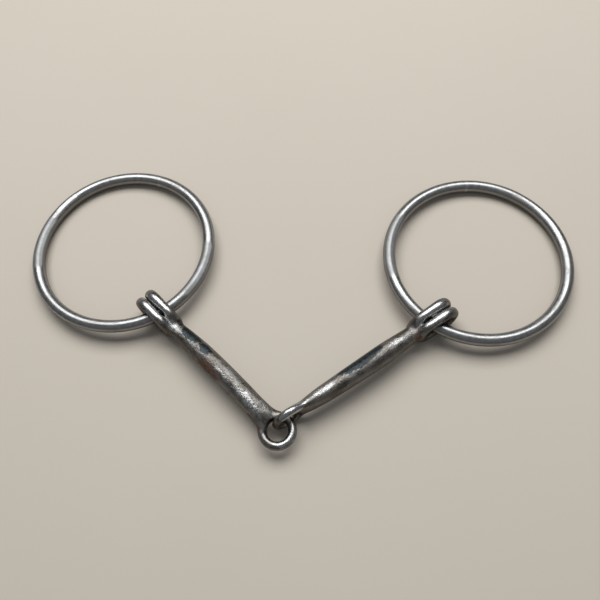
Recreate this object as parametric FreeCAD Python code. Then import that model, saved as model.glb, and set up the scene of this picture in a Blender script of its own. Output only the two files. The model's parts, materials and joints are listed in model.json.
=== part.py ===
"""Loose-ring snaffle bit with a single joint, lying flat with its mouthpiece half folded.

Millimetres, +Z up.  The origin is the middle of the bit's outline on the surface it lies on,
+X runs from the left ring to the right ring, and the mouthpiece folds towards -Y.
"""
import FreeCAD, Part
import math
import os

# ---------------------------------------------------------------- driving dimensions
# Rings: plain round wire, welded into a circle.
RING_OUTSIDE_DIAMETER = 76.0
RING_WIRE = 5.0

# Cannons: the two forged halves of the mouthpiece.
CANNON_LENGTH = 75.6          # centre of the eye to the outermost point of the loops
CANNON_BULK = 8.0             # diameter of the bearing part of each half
CANNON_NECK = 6.2             # waist just inside the loops
CANNON_TAPER = 20.0           # from the eye's rim to the full bulk
SHOULDER_FLARE = 0.3          # how far each edge stands out from the bulk at the eye's rim
SHOULDER_SWELL = 2.0          # how much thicker the shoulder is there than the eye's wire
SHOULDER_DIP = 0.25           # how far the taper stays inside the bulk on its way
WAIST_BACK = 2.8              # from the loops' bore back to the middle of the neck
ARCH_RISE = 1.4               # how far the middle of a cannon bows up
SIDE_BOW = 0.7                # how far it bows sideways, off the line from eye to loops

# Eyes: the two interlinked rings at the centre joint.
EYE_WIRE = 3.3
EYE_HOLE = 7.7

# Loops: two prongs on each cannon, bent round the ring wire.
PRONG = 3.7
PRONG_SLOT = 0.8              # gap between the two prongs
LOOP_BORE_LENGTH = 12.4       # inside the loops, along the cannon
LOOP_HEADROOM = 1.2           # inside height over the ring wire

# Rest pose: how the four pieces lie.
FOLD_HALF_ANGLE = 50.7        # each cannon from the middle line of the V
LEFT_RING_SKEW = 14.4         # each ring hangs askew in its loops
RIGHT_RING_SKEW = 18.4
LEFT_RING_SLIDE = 6.3         # ring wire's centre from the bore's outer wall
RIGHT_RING_SLIDE = 7.6

# Clearances.
REST_GAP = 0.3                # between the ring wire and the prongs it lies on
LINK_GAP = 0.4                # between the wires of the two eyes
LINK_SIDE_GAP = 0.5           # side room the upright eye's wire keeps in the flat eye's hole
BORE_RELIEF = 0.05            # the neck stands back from the bore's wall

# ---------------------------------------------------------------- worked out
RING_RADIUS = (RING_OUTSIDE_DIAMETER - RING_WIRE) / 2
EYE_RADIUS = (EYE_HOLE + EYE_WIRE) / 2
EYE_OUTER = EYE_RADIUS + EYE_WIRE / 2

LOOP_BORE_HEIGHT = RING_WIRE + LOOP_HEADROOM
LOOP_BEND = (LOOP_BORE_HEIGHT + PRONG) / 2            # prong centreline above the bore centre
LOOP_END = CANNON_LENGTH - LOOP_BEND - PRONG / 2      # centre of the outer bend
BORE_OUTER = CANNON_LENGTH - PRONG
BORE_INNER = BORE_OUTER - LOOP_BORE_LENGTH
PRONG_OFFSET = (PRONG_SLOT + PRONG) / 2
FORK_DEPTH = PRONG / 4                                # the fork's solid, past the bore's inner wall
ROOT_OFFSET = PRONG / 3                               # where the prongs' cores join in the neck

LOOP_HEIGHT = LOOP_BEND + PRONG / 2                   # bore centre above the floor
# The upright eye stands off the flat eye's centre line, as far as the hole allows.
LINK_SIDE_SHIFT = (EYE_HOLE - EYE_WIRE) / 2 - LINK_SIDE_GAP
# The flat eye's wire crosses the upright eye's hole askew, and lies in its lower inner quarter.
FLAT_WIRE_AT = math.sqrt(EYE_RADIUS ** 2 - LINK_SIDE_SHIFT ** 2)
HALF_WIRE_ASKEW = EYE_WIRE / 2 * EYE_RADIUS / FLAT_WIRE_AT
LINK_PLAY = (EYE_HOLE / 2 - HALF_WIRE_ASKEW - LINK_GAP) * math.sqrt(0.5)
UPRIGHT_EYE_HEIGHT = EYE_OUTER
FLAT_EYE_HEIGHT = UPRIGHT_EYE_HEIGHT - LINK_PLAY
RING_REST_HEIGHT = PRONG + RING_WIRE / 2 + REST_GAP   # ring wire's centre inside the loops
RING_TILT = math.degrees(math.asin((RING_REST_HEIGHT - RING_WIRE / 2) / (2 * RING_RADIUS)))

Z_AXIS = FreeCAD.Vector(0, 0, 1)
Y_AXIS = FreeCAD.Vector(0, 1, 0)


def vector(x, y, z):
    return FreeCAD.Vector(x, y, z)


# ---------------------------------------------------------------- forged shapes
def arm_sections():
    """Stations from the eye to the loops: place, half breadth and half thickness of each oval.

    Across the eye the cannon keeps its bulk to the rim; through the eye it tapers to the wire.
    """
    bulk = CANNON_BULK / 2
    neck = CANNON_NECK / 2
    shoulder = (EYE_WIRE + SHOULDER_SWELL) / 2
    waist = BORE_INNER - WAIST_BACK
    full = EYE_OUTER + CANNON_TAPER
    return [
        (EYE_OUTER / 2, EYE_RADIUS, EYE_WIRE / 2),
        (EYE_OUTER, bulk + SHOULDER_FLARE, shoulder),
        (EYE_OUTER + CANNON_TAPER / 3, bulk, (shoulder + bulk) / 2),
        (full, bulk, bulk - SHOULDER_DIP),
        ((full + waist) / 2, bulk, bulk),
        (waist - CANNON_NECK, (bulk + neck) / 2, (bulk + neck) / 2),
        (waist, neck, neck),
        (BORE_INNER + FORK_DEPTH, PRONG_OFFSET + ROOT_OFFSET, LOOP_BEND),
    ]


def axis_point(x, eye_height):
    """The cannon's centre line at x: from eye to loops, bowed in the middle."""
    part_way = min(x / BORE_INNER, 1.0)
    straight = eye_height + (LOOP_HEIGHT - eye_height) * part_way
    bow = math.sin(math.pi * part_way)
    return vector(x, -SIDE_BOW * bow, straight + ARCH_RISE * bow)


def oval(centre, half_width, half_height):
    """Closed oval wire square to the cannon."""
    circle = Part.Circle(vector(0, 0, 0), vector(1, 0, 0), 1.0).toShape()
    stretch = FreeCAD.Matrix()
    stretch.scale(1.0, half_width, half_height)
    stretched = circle.transformGeometry(stretch)
    stretched.translate(centre)
    return Part.Wire([stretched])


def arm(flat_eye, eye_height):
    """The bearing part of a cannon, lofted from oval sections."""
    wires = []
    for x, broad, slim in arm_sections():
        turned_here = not flat_eye and x < BORE_INNER
        half_width, half_height = (slim, broad) if turned_here else (broad, slim)
        wires.append(oval(axis_point(x, eye_height), half_width, half_height))
    return Part.makeLoft(wires, True, False)


def bore_space():
    """The space inside the loops: a slot with round ends, right through from side to side."""
    half_height = LOOP_BORE_HEIGHT / 2 + BORE_RELIEF
    width = 4 * PRONG + PRONG_SLOT
    inner = BORE_INNER + LOOP_BORE_HEIGHT / 2
    space = Part.makeBox(LOOP_END - inner, width, 2 * half_height,
                         vector(inner, -width / 2, LOOP_HEIGHT - half_height))
    for x in (inner, LOOP_END):
        end = Part.makeCylinder(half_height, width, vector(x, -width / 2, LOOP_HEIGHT), Y_AXIS)
        space = space.fuse(end)
    return space.removeSplitter()


def prong(side):
    """One bent prong: over the ring wire, round the outer bend and back under it."""
    y = side * PRONG_OFFSET
    start = BORE_INNER + PRONG / 2
    top = LOOP_HEIGHT + LOOP_BEND
    bottom = LOOP_HEIGHT - LOOP_BEND
    over = Part.LineSegment(vector(start, y, top), vector(LOOP_END, y, top)).toShape()
    bend = Part.Arc(vector(LOOP_END, y, top), vector(LOOP_END + LOOP_BEND, y, LOOP_HEIGHT),
                    vector(LOOP_END, y, bottom)).toShape()
    under = Part.LineSegment(vector(LOOP_END, y, bottom), vector(start, y, bottom)).toShape()
    disc = Part.Wire([Part.Circle(vector(start, y, top), vector(1, 0, 0), PRONG / 2).toShape()])
    return Part.Wire([over, bend, under]).makePipeShell([disc], True, False)


def prong_root(side, level):
    """The prong's run back into the neck: a round bar with a ball where it turns."""
    turn = vector(BORE_INNER + PRONG / 2, side * PRONG_OFFSET, LOOP_HEIGHT + level * LOOP_BEND)
    heart = vector(BORE_INNER - PRONG / 2, side * ROOT_OFFSET, LOOP_HEIGHT + level * FORK_DEPTH)
    run = heart - turn
    ball = Part.makeSphere(PRONG / 2, turn)
    bar = Part.makeCylinder(PRONG / 2, run.Length, turn, run)
    return ball.fuse(bar)


def cannon(eye_axis, eye_height):
    """One half of the mouthpiece along +X, its eye centred over the origin."""
    body = arm(eye_axis == Z_AXIS, eye_height)
    drill_from = vector(0, 0, eye_height) - eye_axis * CANNON_BULK
    drill = Part.makeCylinder(EYE_HOLE / 2 + LINK_GAP, 2 * CANNON_BULK, drill_from, eye_axis)
    body = body.cut(drill)
    body = body.fuse([prong_root(side, level) for side in (-1, 1) for level in (-1, 1)])
    body = body.cut(bore_space())
    slot = Part.makeBox(LOOP_BORE_LENGTH, PRONG_SLOT, 4 * LOOP_HEIGHT,
                        vector(BORE_INNER + FORK_DEPTH, -PRONG_SLOT / 2, -LOOP_HEIGHT))
    body = body.cut(slot)
    eye = Part.makeTorus(EYE_RADIUS, EYE_WIRE / 2, vector(0, 0, eye_height), eye_axis)
    return body.fuse([eye, prong(-1), prong(1)])


def ring():
    """A welded ring, flat, centred on the origin."""
    return Part.makeTorus(RING_RADIUS, RING_WIRE / 2, vector(0, 0, 0), Z_AXIS)


# ---------------------------------------------------------------- where the pieces lie
def direction(angle):
    return vector(math.cos(math.radians(angle)), math.sin(math.radians(angle)), 0)


class Side:
    """One half of the bit: where its cannon starts, how its ring hangs."""

    def __init__(self, sign, slide, skew, shift, reach):
        self.heading = 90 - sign * FOLD_HALF_ANGLE
        along = direction(self.heading)
        across = direction(self.heading + sign * 90)
        self.eye = along * reach + across * shift
        loops = self.eye + along * (BORE_OUTER - slide)
        self.crossing = vector(loops.x, loops.y, RING_REST_HEIGHT)
        self.ring_heading = self.heading + sign * skew
        outward = direction(self.ring_heading)
        tilt = math.radians(RING_TILT)
        self.ring_centre = self.crossing + outward * (RING_RADIUS * math.cos(tilt))
        self.ring_centre.z -= RING_RADIUS * math.sin(tilt)
        self.ring_normal = outward * math.sin(tilt) + Z_AXIS * math.cos(tilt)
        self.swing_axis = direction(self.ring_heading - 90)

    def move(self, shift):
        for name in ("eye", "crossing", "ring_centre"):
            setattr(self, name, getattr(self, name) + shift)

    def ring_reach(self, axis):
        """Half the ring's extent along a frame axis."""
        lean = self.ring_normal.dot(axis)
        return RING_RADIUS * math.sqrt(1 - lean * lean) + RING_WIRE / 2


def layout():
    """Both sides in the part's frame, and the centre of the fold between them."""
    left = Side(-1, LEFT_RING_SLIDE, LEFT_RING_SKEW, 0.0, 0.0)
    right = Side(1, RIGHT_RING_SLIDE, RIGHT_RING_SKEW, LINK_SIDE_SHIFT, FLAT_WIRE_AT + LINK_PLAY)
    x_axis = vector(1, 0, 0)
    low_x = left.ring_centre.x - left.ring_reach(x_axis)
    high_x = right.ring_centre.x + right.ring_reach(x_axis)
    high_y = max(side.ring_centre.y + side.ring_reach(Y_AXIS) for side in (left, right))
    low_y = -EYE_OUTER
    centre = vector(-(low_x + high_x) / 2, -(low_y + high_y) / 2, 0)
    left.move(centre)
    right.move(centre)
    return left, right, centre


def placed(shape, side):
    turn = FreeCAD.Rotation(Z_AXIS, side.heading)
    moved = shape.copy()
    moved.Placement = FreeCAD.Placement(side.eye, turn)
    return moved


def placed_ring(side):
    moved = ring()
    turn = FreeCAD.Rotation(Z_AXIS, side.ring_normal)
    moved.Placement = FreeCAD.Placement(side.ring_centre, turn)
    return moved


def pieces():
    """Every separate piece of the bit, by name."""
    left, right, _ = layout()
    return {
        "cannon_left": placed(cannon(Z_AXIS, FLAT_EYE_HEIGHT), left),
        "cannon_right": placed(cannon(Y_AXIS, UPRIGHT_EYE_HEIGHT), right),
        "ring_left": placed_ring(left),
        "ring_right": placed_ring(right),
    }


if __name__ == "__main__":
    os.makedirs("parts", exist_ok=True)
    for name, shape in pieces().items():
        shape.exportStep("parts/" + name + ".step")
        print(name, "solids", len(shape.Solids), "valid", shape.isValid(), "mm3", round(shape.Volume, 1))
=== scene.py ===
"""Looks for the loose-ring snaffle bit: worn steel rings and forged, part-rusted cannons.

The cannons are polygonised from smooth distance fields, so that forks, eyes and necks blend as
forged metal does. The rings are swept, with their flats, dents and weld.
"""
import bmesh
import bpy
import json
import math
import numpy as np
from mathutils import Matrix, Vector


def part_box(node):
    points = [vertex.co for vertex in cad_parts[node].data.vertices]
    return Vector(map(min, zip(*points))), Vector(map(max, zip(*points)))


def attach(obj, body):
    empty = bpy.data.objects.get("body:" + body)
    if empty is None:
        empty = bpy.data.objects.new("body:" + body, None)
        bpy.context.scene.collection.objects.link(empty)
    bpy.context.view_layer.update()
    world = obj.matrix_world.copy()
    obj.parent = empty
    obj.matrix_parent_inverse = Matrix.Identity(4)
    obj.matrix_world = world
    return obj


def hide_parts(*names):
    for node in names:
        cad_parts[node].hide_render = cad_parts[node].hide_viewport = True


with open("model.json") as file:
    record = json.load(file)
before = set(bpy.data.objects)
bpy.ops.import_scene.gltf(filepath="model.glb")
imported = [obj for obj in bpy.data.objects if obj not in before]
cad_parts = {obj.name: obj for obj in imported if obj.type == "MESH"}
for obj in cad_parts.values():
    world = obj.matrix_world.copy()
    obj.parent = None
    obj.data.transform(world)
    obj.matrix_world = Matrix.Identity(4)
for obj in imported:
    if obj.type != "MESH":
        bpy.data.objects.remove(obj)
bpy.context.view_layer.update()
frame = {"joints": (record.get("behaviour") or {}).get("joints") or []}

MM = 0.001
SEED = 7
TINY = 1e-6

# ---------------------------------------------------------------- sizes, in millimetres
# the same as the CAD model's
RING_RADIUS = 35.5            # to the middle of the wire
RING_WIRE = 5.0
CANNON_LENGTH = 75.6          # from the eye's centre to the outer face of the loops
CANNON_BULK = 8.0
CANNON_NECK = 6.2             # thickness just before the fork
CANNON_TAPER = 20.0           # length over which the bar thickens behind the eye
SHOULDER_FLARE = 0.3          # the bar is broader beside the eye
SHOULDER_SWELL = 2.0          # and thicker there than the eye's wire
SHOULDER_DIP = 0.25           # and a little slimmer at the end of the taper
WAIST_BACK = 2.8              # from the bore back to the narrowest part of the neck
ARCH_RISE = 1.4
SIDE_BOW = 0.7
EYE_WIRE = 3.3
EYE_RADIUS = 5.5              # to the middle of the eye's wire
PRONG = 3.7
PRONG_SLOT = 0.8
LOOP_BORE_LENGTH = 12.4
LOOP_BORE_HEIGHT = 6.2
RIGHT_RING_SLIDE = 7.6        # the right ring crosses its loops this far in from the bore's outer end
# worked out
EYE_OUTER = EYE_RADIUS + EYE_WIRE / 2
EYE_HOLE = 2 * EYE_RADIUS - EYE_WIRE
LOOP_BEND = (LOOP_BORE_HEIGHT + PRONG) / 2
LOOP_HEIGHT = LOOP_BEND + PRONG / 2
LOOP_END = CANNON_LENGTH - LOOP_BEND - PRONG / 2
BORE_OUTER = CANNON_LENGTH - PRONG
BORE_INNER = BORE_OUTER - LOOP_BORE_LENGTH
PRONG_OFFSET = (PRONG_SLOT + PRONG) / 2
FORK_DEPTH = PRONG / 4
ROOT_OFFSET = PRONG / 3
UPRIGHT_EYE_HEIGHT = EYE_OUTER

# how the forged shapes run into each other
STATION_SPREAD = 1.3          # rounding of the bar's outline along its length
TABLE_LOW, TABLE_HIGH, TABLE_STEP = -12.0, 90.0, 0.1
FORK_SLIMMING = 0.6           # the fork's half height is the radius of the loops' bend less this
ARM_REACH = 0.9               # the bar runs this far past the bore's inner end
EYE_SETBACK = 0.4             # the bar stops this far outside the eye's hole
ARM_END_BLEND = 0.8
EYE_HOLE_BLEND = 0.5
EYE_BLEND = 0.9
PRONG_BLEND = 1.7
SLOT_BLEND = 0.3
BORE_BLEND = 0.5
PRONG_EXTRA = 0.08            # added to a prong's half breadth
PRONG_BEND_EXTRA = 0.20       # and added again at its outer bend
BROADEN_FROM = 3.0            # the prongs broaden from this far past the bore's inner end
BROADEN_TO = 2.0              # to this far past the centre of the outer bend
SLOT_START = 2.6              # from the bore's inner end to where the slot starts
SLOT_NARROWING = 0.5          # the share of its width that the slot loses at the outer bend
TEARDROP = 0.20               # added to the slot's half width where it starts
TEARDROP_LENGTH = 3.5

# hammer dents and pits: size across, and depth
BROAD_DENT, BROAD_DEPTH = 8.0, 0.035
MEDIUM_DENT, MEDIUM_DEPTH = 2.6, 0.015
FINE_DENT, FINE_DEPTH = 0.9, 0.014
PIT, PIT_DEPTH = 0.75, 0.16
PIT_THRESHOLD = 0.38          # noise above this is a pit
PIT_PATCH, PIT_PATCH_SPREAD = 6.0, 0.35
WORN_OFF = 0.04               # metal gone everywhere
DENT_OUTWARD, DENT_INWARD = -0.01, 0.4

# the cells that a cannon is polygonised from, and where its masks start and are full
CELL = 0.26
GRID_MARGIN = 0.6
GRID_BELOW = 0.7
GRID_ABOVE = 0.9
RELAX_PASSES = 3
CREASE_REACH = 0.8            # how far outside the surface a crease is felt
# painted shade darkens the surfaces that face down, between these
FLANK_SHADE_START, FLANK_SHADE_FULL = -0.86, 0.15
LOOP_POLISH_START, LOOP_POLISH_FULL = BORE_INNER - 4, BORE_INNER + 2
EYE_POLISH_FULL, EYE_POLISH_END = 7.0, 11.0

# the rings' wire, its wear and its weld
RING_STEPS = 1080
RING_SIDES = 72
RING_WAVE, RING_WAVE_DEPTH = 22.0, 0.10
WIRE_SLACK = 0.02             # the wire is this much inside the CAD wire, an unworn flat this much outside
SPINE_SLACK = 0.05            # the wire's middle line is this much inside the CAD ring's
FLAT_SHARPNESS = 18           # how sharply a flat meets the round wire
FLAT_GRAZING = 0.3            # a flat doesn't reach round the wire past this cosine
FLAT_NOWHERE = 9.0            # a flat this far out never touches the wire
WELD_WANDER, WELD_WANDER_SIZE = 0.35, 1.3
WELD_WIDTH, WELD_DEPTH = 0.16, 0.05
WELD_BRIGHT_WIDTH = 0.35
RING_FINE_DENT, RING_FINE_DEPTH = 1.6, 0.006
RING_BROAD_DENT, RING_BROAD_DEPTH = 5.0, 0.015
RING_WORN_OFF = 0.01
# painted shade on the wire where it runs under its loops
LOOP_SHADE_REACH = 4.6             # from where the ring crosses its loops
# painted shade darkens the wire's underside between these
UNDERSIDE_SHADE_START, UNDERSIDE_SHADE_FULL = -0.72, 0.25

# ---------------------------------------------------------------- places, from the joints
joints = {joint["name"]: joint for joint in frame["joints"]}


def place(name):
    return np.array(joints[name]["pos_m"]) / MM


def heading_of(vector):
    return math.atan2(vector[1], vector[0])


def along(angle):
    return np.array([math.cos(angle), math.sin(angle), 0.0])


fold = place("mouthpiece_fold")
FLAT_EYE_HEIGHT = fold[2]
left_crossing = place("ring_left_swing")
right_crossing = place("ring_right_swing")
left_heading = heading_of(left_crossing - fold)
right_heading = math.pi - left_heading
left_eye = np.array([fold[0], fold[1], 0.0])
right_eye = right_crossing - along(right_heading) * (BORE_OUTER - RIGHT_RING_SLIDE)
right_eye[2] = 0.0


# ---------------------------------------------------------------- noise
NOISE_TABLE = 32


def noise(points, size, seed):
    """Smooth value noise, -1 to 1, with features about `size` across."""
    random = np.random.RandomState(seed)
    table = random.uniform(-1, 1, (NOISE_TABLE,) * 3)
    q = points / size + random.uniform(0, NOISE_TABLE, 3)
    cell = np.floor(q).astype(int)
    part = q - cell
    part = part * part * (3 - 2 * part)
    total = np.zeros(len(points))
    for dx in (0, 1):
        wx = part[:, 0] if dx else 1 - part[:, 0]
        for dy in (0, 1):
            wy = part[:, 1] if dy else 1 - part[:, 1]
            for dz in (0, 1):
                wz = part[:, 2] if dz else 1 - part[:, 2]
                corner = (cell + (dx, dy, dz)) % NOISE_TABLE
                total += wx * wy * wz * table[corner[:, 0], corner[:, 1], corner[:, 2]]
    return total


def soft_step(low, high, value):
    """0 up to `low`, 1 from `high`, and smooth between them."""
    t = np.clip((value - low) / (high - low), 0.0, 1.0)
    return t * t * (3 - 2 * t)


# ---------------------------------------------------------------- smooth distance fields
def join(a, b, blend):
    """Union of two fields with a fillet."""
    h = np.clip(0.5 + 0.5 * (b - a) / blend, 0.0, 1.0)
    return b * (1 - h) + a * h - blend * h * (1 - h)


def meet(a, b, blend):
    """Intersection of two fields with a rounded edge."""
    return -join(-a, -b, blend)


def smooth_table(stations, spread):
    """Values along x through the stations, rounded over `spread` millimetres."""
    xs = np.arange(TABLE_LOW, TABLE_HIGH, TABLE_STEP)
    stations = np.array(stations)
    reach = np.arange(-3 * spread, 3 * spread + TABLE_STEP / 2, TABLE_STEP)
    kernel = np.exp(-0.5 * (reach / spread) ** 2)
    kernel /= kernel.sum()
    half = len(kernel) // 2
    rows = []
    for column in (1, 2):
        values = np.interp(xs, stations[:, 0], stations[:, column])
        rows.append(np.convolve(np.pad(values, half, mode="edge"), kernel, mode="valid")[:len(xs)])
    return xs, rows


class Cannon:
    """One forged half of the mouthpiece, along +X from its eye."""

    def __init__(self, flat_eye, eye_height, seed):
        self.flat_eye = flat_eye
        self.eye_height = eye_height
        self.seed = seed
        bulk, neck = CANNON_BULK / 2, CANNON_NECK / 2
        shoulder = (EYE_WIRE + SHOULDER_SWELL) / 2
        waist = BORE_INNER - WAIST_BACK
        full = EYE_OUTER + CANNON_TAPER
        # x, half breadth, half thickness
        stations = [
            (EYE_OUTER / 2, EYE_RADIUS, EYE_WIRE / 2),
            (EYE_OUTER, bulk + SHOULDER_FLARE, shoulder),
            (EYE_OUTER + CANNON_TAPER / 3, bulk, (shoulder + bulk) / 2),
            (full, bulk, bulk - SHOULDER_DIP),
            ((full + waist) / 2, bulk, bulk),
            (waist - CANNON_NECK, (bulk + neck) / 2, (bulk + neck) / 2),
            (waist, neck, neck),
            (BORE_INNER + FORK_DEPTH, PRONG_OFFSET + ROOT_OFFSET, LOOP_BEND - FORK_SLIMMING),
        ]
        self.xs, self.rows = smooth_table(stations, STATION_SPREAD)

    def centre(self, x):
        """Sideways place and height of the bar's middle line."""
        t = np.clip(x / BORE_INNER, 0.0, 1.0)
        bow = np.sin(math.pi * t)
        height = self.eye_height + (LOOP_HEIGHT - self.eye_height) * t + ARCH_RISE * bow
        return -SIDE_BOW * bow, height

    def field(self, p):
        """About how far each point is outside the forging, before its dents."""
        x, y, z = p[:, 0], p[:, 1], p[:, 2]
        side, height = self.centre(x)
        broad = np.interp(x, self.xs, self.rows[0])
        slim = np.interp(x, self.xs, self.rows[1])
        half_y, half_z = (broad, slim) if self.flat_eye else (slim, broad)
        dy, dz = y - side, z - height
        reach = np.sqrt((dy / half_y) ** 2 + (dz / half_z) ** 2)
        slope = np.sqrt((dy / half_y ** 2) ** 2 + (dz / half_z ** 2) ** 2)
        arm = reach * (reach - 1) / np.maximum(slope, TINY)
        arm = np.maximum(arm, EYE_OUTER / 2 - x)
        arm = meet(arm, x - (BORE_INNER + ARM_REACH), ARM_END_BLEND)
        # the eye
        ez = z - self.eye_height
        if self.flat_eye:
            radial, axial = np.hypot(x, y), ez
        else:
            radial, axial = np.hypot(x, ez), y
        arm = meet(arm, (EYE_HOLE / 2 + EYE_SETBACK) - radial, EYE_HOLE_BLEND)
        eye = np.hypot(radial - EYE_RADIUS, axial) - EYE_WIRE / 2
        body = join(arm, eye, EYE_BLEND)
        # the two prongs, each a closed loop round the ring wire, broadest at the outer bend
        inner = BORE_INNER + LOOP_BORE_HEIGHT / 2
        u = x - np.clip(x, inner, LOOP_END)
        outer_end = soft_step(BORE_INNER + BROADEN_FROM, LOOP_END + BROADEN_TO, x)
        round_loop = (np.hypot(u, z - LOOP_HEIGHT) - LOOP_BEND) / (PRONG / 2)
        breadth = PRONG / 2 + PRONG_EXTRA + PRONG_BEND_EXTRA * outer_end
        aside = (np.abs(y) - PRONG_OFFSET) / breadth
        reach = np.hypot(round_loop, aside)
        slope = np.hypot(round_loop / (PRONG / 2), aside / breadth)
        prongs = reach * (reach - 1) / np.maximum(slope, TINY)
        body = join(body, prongs, PRONG_BLEND)
        # the slot between them, and the bore that the ring wire runs through
        before_slot = x - np.maximum(x, BORE_INNER + SLOT_START)
        teardrop = TEARDROP * (1 - soft_step(0.0, TEARDROP_LENGTH, x - BORE_INNER - SLOT_START))
        half_slot = PRONG_SLOT / 2 * (1 - SLOT_NARROWING * outer_end)
        slot = np.hypot(before_slot, y) - half_slot - teardrop
        body = meet(body, -slot, SLOT_BLEND)
        bore = np.hypot(u, z - LOOP_HEIGHT) - LOOP_BORE_HEIGHT / 2
        return meet(body, -bore, BORE_BLEND)

    def dents(self, p):
        """How far the hammer and wear move the surface inwards, in millimetres."""
        broad = noise(p * [0.5, 1, 1], BROAD_DENT, self.seed) * BROAD_DEPTH
        medium = noise(p * [0.6, 1, 1], MEDIUM_DENT, self.seed + 1) * MEDIUM_DEPTH
        fine = noise(p, FINE_DENT, self.seed + 2) * FINE_DEPTH
        pits = np.clip(noise(p, PIT, self.seed + 3) - PIT_THRESHOLD, 0, 1) * PIT_DEPTH
        pits = pits * np.clip(noise(p, PIT_PATCH, self.seed + 4) + PIT_PATCH_SPREAD, 0, 1)
        return np.clip(WORN_OFF - broad - medium - fine + pits, DENT_OUTWARD, DENT_INWARD)


def surface(field, low, high, step):
    """Polygonises the zero surface of a field: one vertex a cell, four-sided faces."""
    axes = [np.arange(low[k], high[k] + step, step) for k in range(3)]
    shape = tuple(len(axis) for axis in axes)
    grid = np.empty(shape)
    yy, zz = np.meshgrid(axes[1], axes[2], indexing="ij")
    for i, x in enumerate(axes[0]):
        points = np.stack([np.full(yy.size, x), yy.ravel(), zz.ravel()], 1)
        grid[i] = field(points).reshape(yy.shape)
    inside = grid < 0
    corners = [(a, b, c) for a in (0, 1) for b in (0, 1) for c in (0, 1)]
    cut = [slice(None, -1), slice(1, None)]
    count = sum(inside[cut[a], cut[b], cut[c]].astype(int) for a, b, c in corners)
    active = (count > 0) & (count < 8)
    cells = np.argwhere(active)
    number = np.full(active.shape, -1)
    number[active] = np.arange(len(cells))
    total = np.zeros((len(cells), 3))
    crossings = np.zeros(len(cells))
    for a in corners:
        for k in range(3):
            if a[k]:
                continue
            b = list(a)
            b[k] = 1
            va = grid[cells[:, 0] + a[0], cells[:, 1] + a[1], cells[:, 2] + a[2]]
            vb = grid[cells[:, 0] + b[0], cells[:, 1] + b[1], cells[:, 2] + b[2]]
            hit = (va < 0) != (vb < 0)
            t = np.where(hit, va / np.where(hit, va - vb, 1.0), 0.0)
            spot = np.tile(np.array(a, float), (len(cells), 1))
            spot[:, k] = t
            total += spot * hit[:, None]
            crossings += hit
    vertices = (cells + total / crossings[:, None]) * step + np.array(low)
    quads = []
    for k in range(3):
        first = [slice(None)] * 3
        second = [slice(None)] * 3
        first[k], second[k] = slice(None, -1), slice(1, None)
        change = inside[tuple(first)] != inside[tuple(second)]
        edges = np.argwhere(change)
        m, n = (k + 1) % 3, (k + 2) % 3
        edges = edges[(edges[:, m] > 0) & (edges[:, n] > 0)]
        ring = []
        for dm, dn in ((1, 1), (0, 1), (0, 0), (1, 0)):
            cell = edges.copy()
            cell[:, m] -= dm
            cell[:, n] -= dn
            ring.append(number[cell[:, 0], cell[:, 1], cell[:, 2]])
        quad = np.stack(ring, 1)
        start_inside = inside[edges[:, 0], edges[:, 1], edges[:, 2]]
        quad[~start_inside] = quad[~start_inside][:, ::-1]
        quads.append(quad)
    return vertices, np.concatenate(quads)


def gradient(field, p, reach=0.05):
    """Slope of a field at points, by differences over `reach` either way."""
    slope = np.empty_like(p)
    for k in range(3):
        shift = np.zeros(3)
        shift[k] = reach
        slope[:, k] = (field(p + shift) - field(p - shift)) / (2 * reach)
    return slope


def settle(field, p, times, least_squared=0.05):
    """Moves points on to the zero surface of a field, with a floor under the squared slope."""
    for _ in range(times):
        slope = gradient(field, p)
        p = p - (field(p) / np.maximum((slope ** 2).sum(1), least_squared))[:, None] * slope
    return p


def relax(p, faces, times):
    """Evens out the spacing of the vertices."""
    for _ in range(times):
        total = np.zeros_like(p)
        count = np.zeros(len(p))
        for k in range(4):
            a, b = faces[:, k], faces[:, (k + 1) % 4]
            for i, j in ((a, b), (b, a)):
                for axis in range(3):
                    total[:, axis] += np.bincount(i, p[j, axis], len(p))
                count += np.bincount(i, minlength=len(p))
        p = 0.5 * p + 0.5 * total / count[:, None]
    return p


def mesh_object(name, vertices, faces, attributes):
    """A smooth-shaded mesh object from millimetre vertices, with point attributes."""
    mesh = bpy.data.meshes.new(name)
    mesh.from_pydata((vertices * MM).tolist(), [], faces.tolist())
    mesh.update()
    mesh.shade_smooth()
    for label, values in attributes.items():
        values = np.asarray(values, np.float32)
        if values.ndim == 2:
            layer = mesh.attributes.new(label, "FLOAT_VECTOR", "POINT")
            layer.data.foreach_set("vector", values.ravel())
        else:
            layer = mesh.attributes.new(label, "FLOAT", "POINT")
            layer.data.foreach_set("value", values)
    piece = bpy.data.objects.new(name, mesh)
    bpy.context.scene.collection.objects.link(piece)
    return piece


def spot(p, centre, radii):
    """1 in the middle of an oval patch, falling to 0 at its edge."""
    away = np.sqrt((((p - np.array(centre)) / np.array(radii)) ** 2).sum(1))
    return 1 - soft_step(0.3, 1.0, away)


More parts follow.
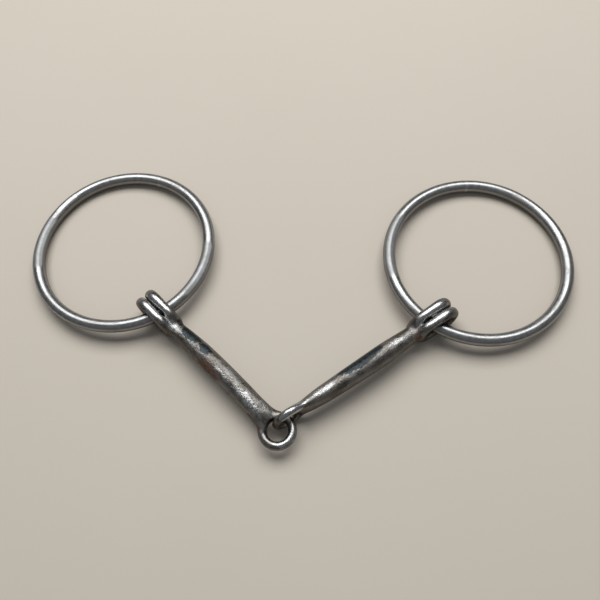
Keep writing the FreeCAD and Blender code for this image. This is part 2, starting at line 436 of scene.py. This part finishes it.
def build_cannon(name, flat_eye, eye, heading, eye_height, seed, patches):
    """A forged cannon in its place, with the masks that its material reads."""
    cannon = Cannon(flat_eye, eye_height, seed)
    low = (-EYE_OUTER - GRID_MARGIN, -EYE_OUTER - GRID_MARGIN, -GRID_BELOW)
    high = (CANNON_LENGTH + GRID_MARGIN, EYE_OUTER + GRID_MARGIN, 2 * EYE_OUTER + GRID_ABOVE)
    p, faces = surface(cannon.field, low, high, CELL)
    p = settle(cannon.field, p, 2)
    for _ in range(RELAX_PASSES):
        p = settle(cannon.field, relax(p, faces, 1), 1)
    slope = gradient(cannon.field, p)
    normal = slope / np.linalg.norm(slope, axis=1)[:, None]
    hollow = cannon.field(p + normal * CREASE_REACH) / CREASE_REACH
    shaped = p - normal * cannon.dents(p)[:, None]
    angle = np.array([[math.cos(heading), -math.sin(heading), 0],
                      [math.sin(heading), math.cos(heading), 0], [0, 0, 1]])
    vertices = shaped @ angle.T + eye
    masks = {}
    for label, spots in patches.items():
        value = np.zeros(len(p))
        for centre, radii, strength in spots:
            value = np.maximum(value, spot(p, centre, radii) * strength)
        masks[label] = value
    masks["local"] = p
    masks["crease"] = np.clip(1 - hollow, 0, 1)
    # painted shade on the surfaces that face down
    masks["flank_shade"] = soft_step(FLANK_SHADE_START, FLANK_SHADE_FULL, -normal[:, 2])
    # hands, straps and the other eye keep the loops and the eye smooth
    from_eye = np.linalg.norm(p - np.array([0.0, 0.0, eye_height]), axis=1)
    masks["polish"] = np.maximum(soft_step(LOOP_POLISH_START, LOOP_POLISH_FULL, p[:, 0]),
                                 1 - soft_step(EYE_POLISH_FULL, EYE_POLISH_END, from_eye))
    return mesh_object(name, vertices, faces, masks)


# ---------------------------------------------------------------- rings
def ring_axes(node, crossing, swing):
    """The centre of a ring as it lies, its two axes in its own plane and its upward normal."""
    low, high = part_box(node)
    centre = (np.array(low) + np.array(high)) / 2 / MM
    centre[2] = RING_WIRE / 2 + (crossing[2] - RING_WIRE / 2) / 2
    outward = centre - crossing
    outward /= np.linalg.norm(outward)
    normal = np.cross(np.array(swing), outward)
    normal /= np.linalg.norm(normal)
    if normal[2] < 0:
        normal = -normal
    x_axis = np.cross([0, 1, 0], normal)
    x_axis /= np.linalg.norm(x_axis)
    return centre, x_axis, np.cross(normal, x_axis), normal


def turn_from(degrees, middle):
    """Degrees round the ring from `middle`, -180 to 180."""
    return (degrees - middle + 180) % 360 - 180


def worn_wire(degrees, phi, flats):
    """The wire's radius with its worn flats, and how dull they are."""
    radius = np.full_like(phi, RING_WIRE / 2 - WIRE_SLACK)
    dull = np.zeros_like(phi)
    for middle, half_width, tilt, depth, ramp, scuffed in flats:
        away = np.abs(turn_from(degrees, middle))
        press = 1 - soft_step(half_width - ramp, half_width, away)
        dull = np.maximum(dull, press * scuffed)
        level = RING_WIRE / 2 + WIRE_SLACK - depth * press
        facing = np.cos(phi - math.radians(tilt))
        plane = np.where(facing > FLAT_GRAZING, level / np.maximum(facing, FLAT_GRAZING), FLAT_NOWHERE)
        both = np.exp(-radius * FLAT_SHARPNESS) + np.exp(-plane * FLAT_SHARPNESS)
        radius = -np.log(both) / FLAT_SHARPNESS
    return np.minimum(radius, RING_WIRE / 2), dull


def weld_distance(degrees, phi, weld, seed):
    """Millimetres round the ring from its weld, whose line wanders a little."""
    across = np.stack([phi.ravel() * 2, np.zeros(phi.size), np.zeros(phi.size)], 1)
    straight = turn_from(degrees, weld) * math.radians(1) * RING_RADIUS
    return straight + WELD_WANDER * noise(across, WELD_WANDER_SIZE, seed).reshape(phi.shape)


def build_ring(name, node, crossing, swing, flats, weld, seed):
    """A ring of welded wire: slightly wavy, with worn flats on its top and a dressed weld."""
    centre, x_axis, y_axis, normal = ring_axes(node, crossing, swing)
    theta = np.linspace(0, 2 * math.pi, RING_STEPS, endpoint=False)
    phi = np.linspace(0, 2 * math.pi, RING_SIDES, endpoint=False)
    theta, phi = np.meshgrid(theta, phi, indexing="ij")
    degrees = np.degrees(theta)
    circle = np.stack([np.cos(theta), np.sin(theta), np.zeros_like(theta)], -1).reshape(-1, 3)
    wave = noise(circle * RING_RADIUS, RING_WAVE, seed).reshape(theta.shape) * RING_WAVE_DEPTH
    radius, dull = worn_wire(degrees, phi, flats)
    weld_away = weld_distance(degrees, phi, weld, seed + 5)
    radius = radius - WELD_DEPTH * np.exp(-(weld_away / WELD_WIDTH) ** 2)
    spine = RING_RADIUS - SPINE_SLACK + wave
    # phi 0 is the top of the wire, 90 degrees is the outside of the ring
    out = spine + radius * np.sin(phi)
    up = radius * np.cos(phi)

    def in_plane(reach):
        return (np.cos(theta) * reach)[..., None] * x_axis + (np.sin(theta) * reach)[..., None] * y_axis

    points = (centre + in_plane(out) + up[..., None] * normal).reshape(-1, 3)
    index = np.arange(RING_STEPS * RING_SIDES).reshape(RING_STEPS, RING_SIDES)
    near, far = index, np.roll(index, -1, 0)
    faces = np.stack([near, np.roll(near, -1, 1), np.roll(far, -1, 1), far], -1).reshape(-1, 4)
    dents = noise(points, RING_FINE_DENT, seed + 1) * RING_FINE_DEPTH
    dents = dents + noise(points, RING_BROAD_DENT, seed + 2) * RING_BROAD_DEPTH
    away = points - (centre + in_plane(spine).reshape(-1, 3))
    away /= np.linalg.norm(away, axis=1)[:, None]
    points = points + away * np.minimum(dents - RING_WORN_OFF, 0.0)[:, None]
    attributes = {
        "local": np.stack([np.cos(theta) * out, np.sin(theta) * out, up], -1).reshape(-1, 3),
        "sweep": np.stack([theta * RING_RADIUS, up, radius * np.sin(phi)], -1).reshape(-1, 3),
        "seam": np.exp(-(weld_away.ravel() / WELD_BRIGHT_WIDTH) ** 2),
        # painted shade where the wire runs under its loops
        "loop_shade": np.exp(-(np.linalg.norm(points - crossing, axis=1) / LOOP_SHADE_REACH) ** 4),
        # painted shade on the wire's underside
        "underside_shade": soft_step(UNDERSIDE_SHADE_START, UNDERSIDE_SHADE_FULL, -np.cos(phi.ravel())),
        "dull": dull.ravel(),
    }
    return mesh_object(name, points, faces, attributes)


# ---------------------------------------------------------------- material helpers
class Nodes:
    """Short calls for building a node tree."""

    def __init__(self, name):
        self.material = bpy.data.materials.new(name)
        self.material.use_nodes = True
        self.tree = self.material.node_tree
        self.tree.nodes.clear()
        self.output = self.tree.nodes.new("ShaderNodeOutputMaterial")
        self.shader = self.tree.nodes.new("ShaderNodeBsdfPrincipled")
        self.link(self.shader.outputs[0], self.output.inputs["Surface"])

    def link(self, source, target):
        self.tree.links.new(source, target)

    def attribute(self, name, kind="Fac"):
        node = self.tree.nodes.new("ShaderNodeAttribute")
        node.attribute_name = name
        return node.outputs[kind]

    def put(self, socket, value):
        """Gives a socket a link or a plain value."""
        if isinstance(value, bpy.types.NodeSocket):
            self.link(value, socket)
        else:
            socket.default_value = value

    def math(self, operation, a, b=0.0, clamp=False):
        node = self.tree.nodes.new("ShaderNodeMath")
        node.operation = operation
        node.use_clamp = clamp
        self.put(node.inputs[0], a)
        self.put(node.inputs[1], b)
        return node.outputs[0]

    def scaled(self, vector, factors):
        node = self.tree.nodes.new("ShaderNodeVectorMath")
        node.operation = "MULTIPLY"
        self.link(vector, node.inputs[0])
        node.inputs[1].default_value = factors
        return node.outputs[0]

    def noise(self, vector, scale, detail=3.0, roughness=0.55, distortion=0.0):
        node = self.tree.nodes.new("ShaderNodeTexNoise")
        self.link(vector, node.inputs["Vector"])
        node.inputs["Scale"].default_value = scale
        node.inputs["Detail"].default_value = detail
        node.inputs["Roughness"].default_value = roughness
        node.inputs["Distortion"].default_value = distortion
        return node.outputs[0]

    def ramp(self, value, low, high, out_low=0.0, out_high=1.0):
        node = self.tree.nodes.new("ShaderNodeMapRange")
        node.interpolation_type = "SMOOTHSTEP"
        self.link(value, node.inputs["Value"])
        node.inputs["From Min"].default_value = low
        node.inputs["From Max"].default_value = high
        node.inputs["To Min"].default_value = out_low
        node.inputs["To Max"].default_value = out_high
        return node.outputs[0]

    def mix(self, factor, a, b):
        """Between two colours."""
        node = self.tree.nodes.new("ShaderNodeMix")
        node.data_type = "RGBA"
        self.put(node.inputs[0], factor)
        self.put(node.inputs[6], a)
        self.put(node.inputs[7], b)
        return node.outputs[2]

    def blend(self, factor, a, b):
        """Between two numbers."""
        node = self.tree.nodes.new("ShaderNodeMix")
        node.data_type = "FLOAT"
        self.put(node.inputs[0], factor)
        self.put(node.inputs[2], a)
        self.put(node.inputs[3], b)
        return node.outputs[0]

    def bump(self, height, strength, distance, below=None):
        node = self.tree.nodes.new("ShaderNodeBump")
        self.put(node.inputs["Strength"], strength)
        node.inputs["Distance"].default_value = distance
        self.link(height, node.inputs["Height"])
        if below is not None:
            self.link(below, node.inputs["Normal"])
        return node.outputs[0]


def ring_material():
    """Satin drawn wire, with painted shade: brown on its underside and near black where it runs under its
    loops.
    """
    dark_steel, pale_steel = (0.325, 0.330, 0.333, 1), (0.420, 0.434, 0.446, 1)
    tarnish_brown, underside_shade_brown = (0.21, 0.18, 0.15, 1), (0.095, 0.074, 0.055, 1)
    loop_shade_black, speck_brown = (0.022, 0.017, 0.013, 1), (0.12, 0.08, 0.05, 1)
    weld_steel = (0.60, 0.59, 0.57, 1)
    smooth, satin, tarnished, scuffed = 0.27, 0.35, 0.44, 0.56
    n = Nodes("ring_steel_satin")
    local = n.attribute("local", "Vector")
    sweep = n.attribute("sweep", "Vector")
    broad = n.noise(local, 0.10, 2.0)
    mottle = n.noise(local, 0.55, 4.0)
    speck = n.noise(local, 2.2, 3.0, 0.6)
    grain = n.noise(n.scaled(sweep, (0.9, 9.0, 9.0)), 0.9, 3.0, 0.6)
    scratch = n.noise(n.scaled(sweep, (0.25, 14.0, 14.0)), 1.0, 2.0, 0.5)
    tarnish = n.math("MULTIPLY", n.ramp(broad, 0.42, 0.66), n.ramp(mottle, 0.40, 0.60), True)
    ragged = n.math("MULTIPLY", n.math("SUBTRACT", mottle, 0.5), 0.5)
    # painted shade on the underside, with a ragged edge
    underside_shade = n.math("ADD", n.attribute("underside_shade"), ragged, True)
    colour = n.mix(n.ramp(mottle, 0.35, 0.65), dark_steel, pale_steel)
    colour = n.mix(n.math("MULTIPLY", tarnish, 0.35), colour, tarnish_brown)
    # painted shade: the wire's underside browned
    colour = n.mix(n.math("MULTIPLY", underside_shade, 0.85), colour, underside_shade_brown)
    # painted shade: near black where the wire runs under its loops
    colour = n.mix(n.math("MULTIPLY", n.attribute("loop_shade"), 0.9), colour, loop_shade_black)
    spots = n.math("MULTIPLY", n.ramp(speck, 0.62, 0.70), n.ramp(broad, 0.50, 0.62), True)
    colour = n.mix(n.math("MULTIPLY", spots, 0.5), colour, speck_brown)
    colour = n.mix(n.math("MULTIPLY", n.attribute("seam"), 0.5), colour, weld_steel)
    n.link(colour, n.shader.inputs["Base Color"])
    n.shader.inputs["Metallic"].default_value = 1.0
    rough = n.blend(n.ramp(grain, 0.35, 0.65), smooth, satin)
    rough = n.blend(n.math("MAXIMUM", tarnish, underside_shade), rough, tarnished)
    rough = n.blend(n.attribute("dull"), rough, scuffed)
    n.link(rough, n.shader.inputs["Roughness"])
    height = n.math("ADD", n.math("MULTIPLY", grain, 0.6), n.math("MULTIPLY", scratch, 0.4))
    fine = n.bump(height, 0.30, 0.00003)
    n.link(n.bump(mottle, 0.18, 0.00008, fine), n.shader.inputs["Normal"])
    return n.material


def cannon_material():
    """Forged steel: painted shade on the flanks, forge scale and a painted dark reflection, rust, and
    crests rubbed bright with a painted highlight.
    """
    dark_steel, pale_steel = (0.185, 0.176, 0.164, 1), (0.295, 0.291, 0.285, 1)
    stain_brown, flank_shade_brown = (0.100, 0.085, 0.068, 1), (0.056, 0.040, 0.027, 1)
    drawn_steel, rubbed_and_highlight_steel = (0.42, 0.41, 0.40, 1), (0.53, 0.54, 0.545, 1)
    slate_and_reflection_colour = (0.021, 0.032, 0.038, 1)
    dark_rust, pale_rust = (0.050, 0.026, 0.014, 1), (0.17, 0.085, 0.048, 1)
    n = Nodes("mouthpiece_steel_forged")
    local = n.attribute("local", "Vector")
    broad = n.noise(n.scaled(local, (0.6, 1, 1)), 0.16, 3.0)
    mottle = n.noise(n.scaled(local, (0.7, 1, 1)), 0.45, 5.0, 0.6, 0.4)
    speck = n.noise(local, 1.5, 3.0, 0.6)
    fine = n.noise(local, 4.5, 3.0, 0.6)
    drawn = n.noise(n.scaled(local, (0.22, 2.2, 2.2)), 1.0, 4.0, 0.6)
    wild = n.math("MULTIPLY", n.math("SUBTRACT", mottle, 0.5), 3.2)
    rough_edge = n.math("ADD", wild, n.math("MULTIPLY", n.math("SUBTRACT", speck, 0.5), 1.4))
    colour = n.mix(n.ramp(mottle, 0.35, 0.65), dark_steel, pale_steel)
    colour = n.mix(n.math("MULTIPLY", n.ramp(broad, 0.42, 0.60), 0.6), colour, stain_brown)
    colour = n.mix(n.math("MULTIPLY", n.ramp(drawn, 0.50, 0.64), 0.25), colour, drawn_steel)
    # painted shade: dark brown on the sides and underside, which face down
    flank_shade = n.math("ADD", n.attribute("flank_shade"), n.math("MULTIPLY", rough_edge, 0.22), True)
    colour = n.mix(n.math("MULTIPLY", flank_shade, 0.92), colour, flank_shade_brown)
    # dark blue-grey patches: forge scale on the left half, and on the right half a painted reflection of
    # something dark
    slate_and_reflection = n.ramp(n.math("ADD", n.attribute("slate_and_reflection"), n.math("MULTIPLY", rough_edge, 0.55)), 0.25, 0.60)
    slate_and_reflection = n.math("MULTIPLY", slate_and_reflection, n.ramp(n.attribute("slate_and_reflection"), 0.02, 0.2), True)
    colour = n.mix(n.math("MULTIPLY", slate_and_reflection, 0.92), colour, slate_and_reflection_colour)
    # brown rust in blotches, in the creases and in stray specks
    rust = n.ramp(n.math("ADD", n.attribute("rust"), n.math("MULTIPLY", rough_edge, 0.55)), 0.38, 0.80)
    rust = n.math("MULTIPLY", rust, n.ramp(n.attribute("rust"), 0.02, 0.3), True)
    stray = n.math("MULTIPLY", n.ramp(speck, 0.60, 0.68), n.ramp(broad, 0.44, 0.60), True)
    rust = n.math("MAXIMUM", rust, n.math("MULTIPLY", stray, 0.55))
    crease = n.ramp(n.attribute("crease"), 0.03, 0.40)
    rust = n.math("MAXIMUM", rust, n.math("MULTIPLY", crease, 0.6), True)
    rust_colour = n.mix(n.ramp(speck, 0.38, 0.62), dark_rust, pale_rust)
    colour = n.mix(n.math("MULTIPLY", rust, 0.80), colour, rust_colour)
    # rubbed bright places, and a painted highlight along the tops of the bars, speckled where pits stay
    # dark
    rub_and_highlight = n.ramp(n.math("ADD", n.attribute("rub_and_highlight"), n.math("MULTIPLY", rough_edge, 0.45)), 0.30, 0.75)
    rub_and_highlight = n.math("MULTIPLY", rub_and_highlight, n.ramp(n.attribute("rub_and_highlight"), 0.02, 0.2), True)
    colour = n.mix(n.math("MULTIPLY", rub_and_highlight, 0.70), colour, rubbed_and_highlight_steel)
    n.link(colour, n.shader.inputs["Base Color"])
    n.link(n.blend(rust, 1.0, 0.45), n.shader.inputs["Metallic"])
    rough = n.blend(n.ramp(mottle, 0.35, 0.65), 0.28, 0.40)
    rough = n.blend(flank_shade, rough, 0.46)
    rough = n.blend(rust, rough, 0.62)
    rough = n.blend(slate_and_reflection, rough, 0.30)
    rough = n.blend(rub_and_highlight, rough, 0.27)
    rough = n.math("ADD", rough, n.math("MULTIPLY", n.math("SUBTRACT", speck, 0.5), 0.25), True)
    n.link(rough, n.shader.inputs["Roughness"])
    polish = n.attribute("polish")
    pitted = n.bump(n.ramp(fine, 0.30, 0.60), n.blend(polish, 0.40, 0.12), 0.00007)
    pitted = n.bump(speck, n.blend(polish, 0.62, 0.18), 0.00024, pitted)
    n.link(n.bump(drawn, n.blend(polish, 0.25, 0.12), 0.00012, pitted), n.shader.inputs["Normal"])
    return n.material


def floor_material():
    """Plain pale card."""
    warm_grey, pale_grey = (0.66, 0.60, 0.52, 1), (0.70, 0.645, 0.565, 1)
    n = Nodes("floor_pale")
    coordinates = n.tree.nodes.new("ShaderNodeTexCoord").outputs["Object"]
    cloud = n.noise(coordinates, 6.0, 3.0)
    colour = n.mix(cloud, warm_grey, pale_grey)
    n.link(colour, n.shader.inputs["Base Color"])
    n.shader.inputs["Roughness"].default_value = 0.85
    return n.material


# ---------------------------------------------------------------- pieces
# oval patches on each cannon: centre and radii in its own millimetres, then strength
left_patches = {
    "rust": [((34, 2.4, 10.0), (10.0, 3.2, 4.0), 0.95), ((9, 4.8, 6.0), (8.0, 4.0, 5.0), 0.9),
             ((50, 2.6, 6), (12, 4, 5), 0.6), ((22, 3.8, 6), (12, 3, 4), 0.45),
             ((BORE_OUTER + 2, 0, 5), (5, 6, 6), 0.6)],
    # dark slate patches of forge scale
    "slate_and_reflection": [((48.5, -2.6, 10.4), (7.5, 3.8, 4.5), 1.0), ((40, -2.2, 11.4), (4.5, 2.8, 3.2), 0.9),
             ((56, -2.5, 8.8), (2.8, 1.8, 2.4), 1.3)],
    # worn bright at the loops and eye, and a painted highlight along the top of the bar
    "rub_and_highlight": [((14, 0.2, 11.5), (12, 2.8, 4.0), 0.9), ((30, 0.2, 12.4), (10, 1.6, 2.4), 0.5),
            ((57, 0.6, 10.8), (8, 2.6, 3.0), 0.9), ((66, 0, 12.6), (12, 6, 3.4), 1.1),
            ((-3, 0, 8.0), (8, 8, 2.4), 1.0)],
}
right_patches = {
    "rust": [((56.5, -2.4, 9.0), (3.4, 2.4, 2.6), 1.2), ((13, -1.0, 9.0), (7.0, 4, 5), 0.7),
             ((BORE_OUTER + 2, 0, 5), (5, 6, 6), 0.6), ((26, -3.0, 7), (16, 3, 4), 0.5)],
    # a painted reflection of something dark, on the top of the bar
    "slate_and_reflection": [((32.5, 2.2, 11.2), (14.0, 4.4, 5.6), 1.3)],
    # worn bright at the loops, and a painted highlight along the top of the bar and eye
    "rub_and_highlight": [((2, 0, 13.2), (10, 3, 3.4), 1.1), ((15, 0.2, 11.6), (8, 2.0, 3), 0.75),
            ((59, 0, 12.5), (4.5, 3.4, 3.0), 0.9), ((66, 0, 12.6), (12, 6, 3.4), 1.1),
            ((48, 0.2, 12.0), (7, 2.2, 3), 0.6)],
}
# worn flats on each ring: middle and half width in degrees round it, tilt round the wire in
# degrees, depth in millimetres, ramp at each end in degrees, and how scuffed it is
left_flats = [(180, 22, -36, 0.16, 4, 0.9), (-14, 22, 29, 0.17, 4, 0.8), (146, 10, -7, 0.14, 2, 0.0)]
right_flats = [(176, 26, -24, 0.15, 5, 0.75), (-2, 16, 22, 0.10, 6, 0.35)]
LEFT_WELD = 75                # degrees round the ring
RIGHT_WELD = 97
pieces = {
    "cannon_left": build_cannon("forged_cannon_left", True, left_eye, left_heading, FLAT_EYE_HEIGHT,
                                SEED, left_patches),
    "cannon_right": build_cannon("forged_cannon_right", False, right_eye, right_heading, UPRIGHT_EYE_HEIGHT,
                                 SEED + 20, right_patches),
    "ring_left": build_ring("wire_ring_left", "ring_left", left_crossing,
                            joints["ring_left_swing"]["axis"], left_flats, LEFT_WELD, SEED + 40),
    "ring_right": build_ring("wire_ring_right", "ring_right", right_crossing,
                             joints["ring_right_swing"]["axis"], right_flats, RIGHT_WELD, SEED + 60),
}
steel = ring_material()
forged = cannon_material()
for node, piece in pieces.items():
    is_ring = node.startswith("ring")
    piece.data.materials.append(steel if is_ring else forged)
    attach(piece, node)
    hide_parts(node)


# ---------------------------------------------------------------- floor, camera and light
FLOOR_HALF_WIDTH = 1.5        # this section is in metres
FLOOR_CELLS = 24


def build_floor():
    mesh = bpy.data.meshes.new("studio_floor")
    bm = bmesh.new()
    bmesh.ops.create_grid(bm, x_segments=FLOOR_CELLS, y_segments=FLOOR_CELLS, size=FLOOR_HALF_WIDTH)
    bm.to_mesh(mesh)
    bm.free()
    mesh.materials.append(floor_material())
    floor = bpy.data.objects.new("studio_floor", mesh)
    bpy.context.scene.collection.objects.link(floor)


build_floor()

VIEW_TURN = math.radians(10.3)
VIEW_RISE = math.radians(66.17)
VIEW_ROLL = math.radians(-5.33)
VIEW_DISTANCE = 0.2573
VIEW_TARGET = Vector((0.00239, 0.00098, 0.0))
LENS = 38.4                   # the lens and the sensor are in millimetres
SENSOR = 36.0
NEAREST = 0.01


def build_camera():
    """Looks down on the bit as the photograph does."""
    back = Vector((math.sin(VIEW_TURN) * math.cos(VIEW_RISE), -math.cos(VIEW_TURN) * math.cos(VIEW_RISE),
                   math.sin(VIEW_RISE)))
    right = Vector((math.cos(VIEW_TURN), math.sin(VIEW_TURN), 0))
    up = back.cross(right)
    turned_right = math.cos(VIEW_ROLL) * right + math.sin(VIEW_ROLL) * up
    turned_up = -math.sin(VIEW_ROLL) * right + math.cos(VIEW_ROLL) * up
    data = bpy.data.cameras.new("view")
    data.lens = LENS
    data.sensor_width = SENSOR
    data.clip_start = NEAREST
    camera = bpy.data.objects.new("view", data)
    turn = Matrix((turned_right, turned_up, back)).transposed().to_4x4()
    camera.matrix_world = Matrix.Translation(VIEW_TARGET + back * VIEW_DISTANCE) @ turn
    bpy.context.scene.collection.objects.link(camera)
    bpy.context.scene.camera = camera


LIGHT_PLACE = (-0.05, 0.41, 0.75)
LIGHT_SIZE = (0.96, 0.56)
LIGHT_POWER = 7.2
LIGHT_COLOUR = (1.0, 0.99, 0.97)


def build_light(name, place, size, power, colour):
    """A soft rectangular light that faces the bit."""
    data = bpy.data.lights.new(name, "AREA")
    data.shape = "RECTANGLE"
    data.size, data.size_y = size
    data.energy = power
    data.color = colour
    lamp = bpy.data.objects.new(name, data)
    lamp.location = place
    lamp.rotation_euler = (Vector((0, 0, 0)) - Vector(place)).to_track_quat("-Z", "Y").to_euler()
    bpy.context.scene.collection.objects.link(lamp)


build_camera()
build_light("overhead", LIGHT_PLACE, LIGHT_SIZE, LIGHT_POWER, LIGHT_COLOUR)

# the room's colours, by the height that is looked towards: 0 is level, 1 is straight up
ROOM_LOW, ROOM_LOW_COLOUR = 0.05, (0.050, 0.047, 0.043, 1)
ROOM_PALE, ROOM_PALE_COLOUR = 0.60, (0.40, 0.415, 0.43, 1)
ROOM_TOP, ROOM_TOP_COLOUR = 1.0, (0.30, 0.31, 0.32, 1)
ROOM_STRENGTH = 0.52


def build_world():
    """A dim plain room: dark towards the horizon, palest part of the way up."""
    world = bpy.data.worlds.new("studio")
    bpy.context.scene.world = world
    world.use_nodes = True
    tree = world.node_tree
    direction = tree.nodes.new("ShaderNodeTexCoord").outputs["Generated"]
    split = tree.nodes.new("ShaderNodeSeparateXYZ")
    tree.links.new(direction, split.inputs[0])
    ramp = tree.nodes.new("ShaderNodeValToRGB")
    stops = ramp.color_ramp.elements
    stops[0].position, stops[0].color = ROOM_LOW, ROOM_LOW_COLOUR
    stops[1].position, stops[1].color = ROOM_TOP, ROOM_TOP_COLOUR
    stops.new(ROOM_PALE).color = ROOM_PALE_COLOUR
    tree.links.new(split.outputs[2], ramp.inputs[0])
    tree.links.new(ramp.outputs[0], tree.nodes["Background"].inputs["Color"])
    tree.nodes["Background"].inputs["Strength"].default_value = ROOM_STRENGTH


build_world()
bpy.context.scene.view_settings.view_transform = "Standard"
